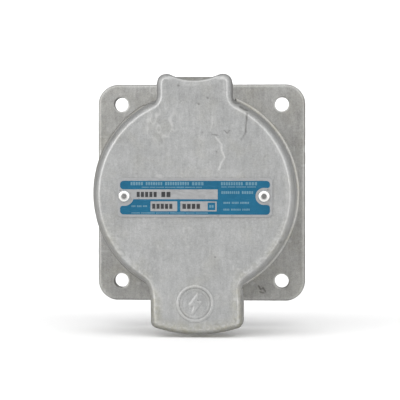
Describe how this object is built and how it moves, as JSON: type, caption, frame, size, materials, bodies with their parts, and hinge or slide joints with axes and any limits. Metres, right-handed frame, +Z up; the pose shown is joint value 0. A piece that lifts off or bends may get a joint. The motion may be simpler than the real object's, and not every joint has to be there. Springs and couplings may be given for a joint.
{
  "type": "power inlet",
  "caption": "Flange-mounted pin-and-sleeve power inlet: cast body with a square flange, round spring-loaded hinged cover with a pull tab, four pin contacts and rear wire terminals.",
  "frame": {"origin": "on the plug sleeve's axis, at the centre of the front insulator's face, where the nose of the mating plug stops; the mounting face is the plane y = 0.0224", "axes": "+X to the right seen from the front, +Y into the enclosure, along the sleeve's axis, +Z up towards the hinge"},
  "size_m": [0.127, 0.1106, 0.1509],
  "materials": {
    "cast_aluminium": "as cast, tumbled",
    "cast_aluminium_cover": "as cast, tumbled",
    "black_neoprene": "matte",
    "cover_neoprene": "matte",
    "enamelled_plate": "blue enamel and bare metal",
    "nickel_steel": "bright nickel",
    "stainless_steel": "drawn",
    "zinc_steel": "zinc plated",
    "green_steel": "green passivated",
    "nickel_brass": "nickel plated",
    "tinned_copper": "tin plated",
    "red_insulator": "moulded",
    "black_insulator": "moulded"
  },
  "bodies": {
    "housing": {"housing": "cast_aluminium", "mounting_gasket": "black_neoprene", "hinge_pin": "stainless_steel", "hinge_pin_set_screw": "zinc_steel", "torsion_spring": "stainless_steel", "insulator_front": "red_insulator", "insulator_gasket": "black_neoprene", "insulator_rear": "black_insulator", "insulator_screw_top": "zinc_steel", "insulator_screw_right": "zinc_steel", "insulator_screw_bottom": "zinc_steel", "insulator_screw_left": "zinc_steel", "insulator_clamp_screw": "zinc_steel", "line_pin_1": "nickel_brass", "line_pin_2": "nickel_brass", "line_pin_3": "nickel_brass", "ground_pin": "nickel_brass", "line_1_terminal": "tinned_copper", "line_2_terminal": "tinned_copper", "line_3_terminal": "tinned_copper", "ground_terminal": "tinned_copper", "ground_strap": "tinned_copper", "bonding_washer": "zinc_steel", "bonding_screw": "green_steel"},
    "cover": {"cover": "cast_aluminium_cover", "cover_gasket": "cover_neoprene", "nameplate": "enamelled_plate", "nameplate_screw_left": "nickel_steel", "nameplate_screw_right": "nickel_steel"},
    "line_1_clamp_screw_body": {"line_1_clamp_screw": "zinc_steel"},
    "line_2_clamp_screw_body": {"line_2_clamp_screw": "zinc_steel"},
    "line_3_clamp_screw_body": {"line_3_clamp_screw": "zinc_steel"},
    "ground_clamp_screw_body": {"ground_clamp_screw": "zinc_steel"}
  },
  "joints": [
    {"name": "lid_hinge", "type": "hinge", "parent": "housing", "child": "cover", "pos_m": [0, -0.0345, 0.0602], "axis": [-1, 0, 0], "range_deg": [0, 140], "stiffness_Nm_per_rad": 0.12, "springref_deg": -74.48, "deforming": ["torsion_spring"]},
    {"name": "line_1_clamp", "type": "slide", "parent": "housing", "child": "line_1_clamp_screw_body", "axis": [0.7071, 0, -0.7071], "range_m": [0, 0.0045]},
    {"name": "line_2_clamp", "type": "slide", "parent": "housing", "child": "line_2_clamp_screw_body", "axis": [-0.7071, 0, -0.7071], "range_m": [0, 0.0045]},
    {"name": "line_3_clamp", "type": "slide", "parent": "housing", "child": "line_3_clamp_screw_body", "axis": [0.7071, 0, 0.7071], "range_m": [0, 0.0045]},
    {"name": "ground_clamp", "type": "slide", "parent": "housing", "child": "ground_clamp_screw_body", "axis": [-0.7071, 0, 0.7071], "range_m": [0, 0.0045]}
  ]
}
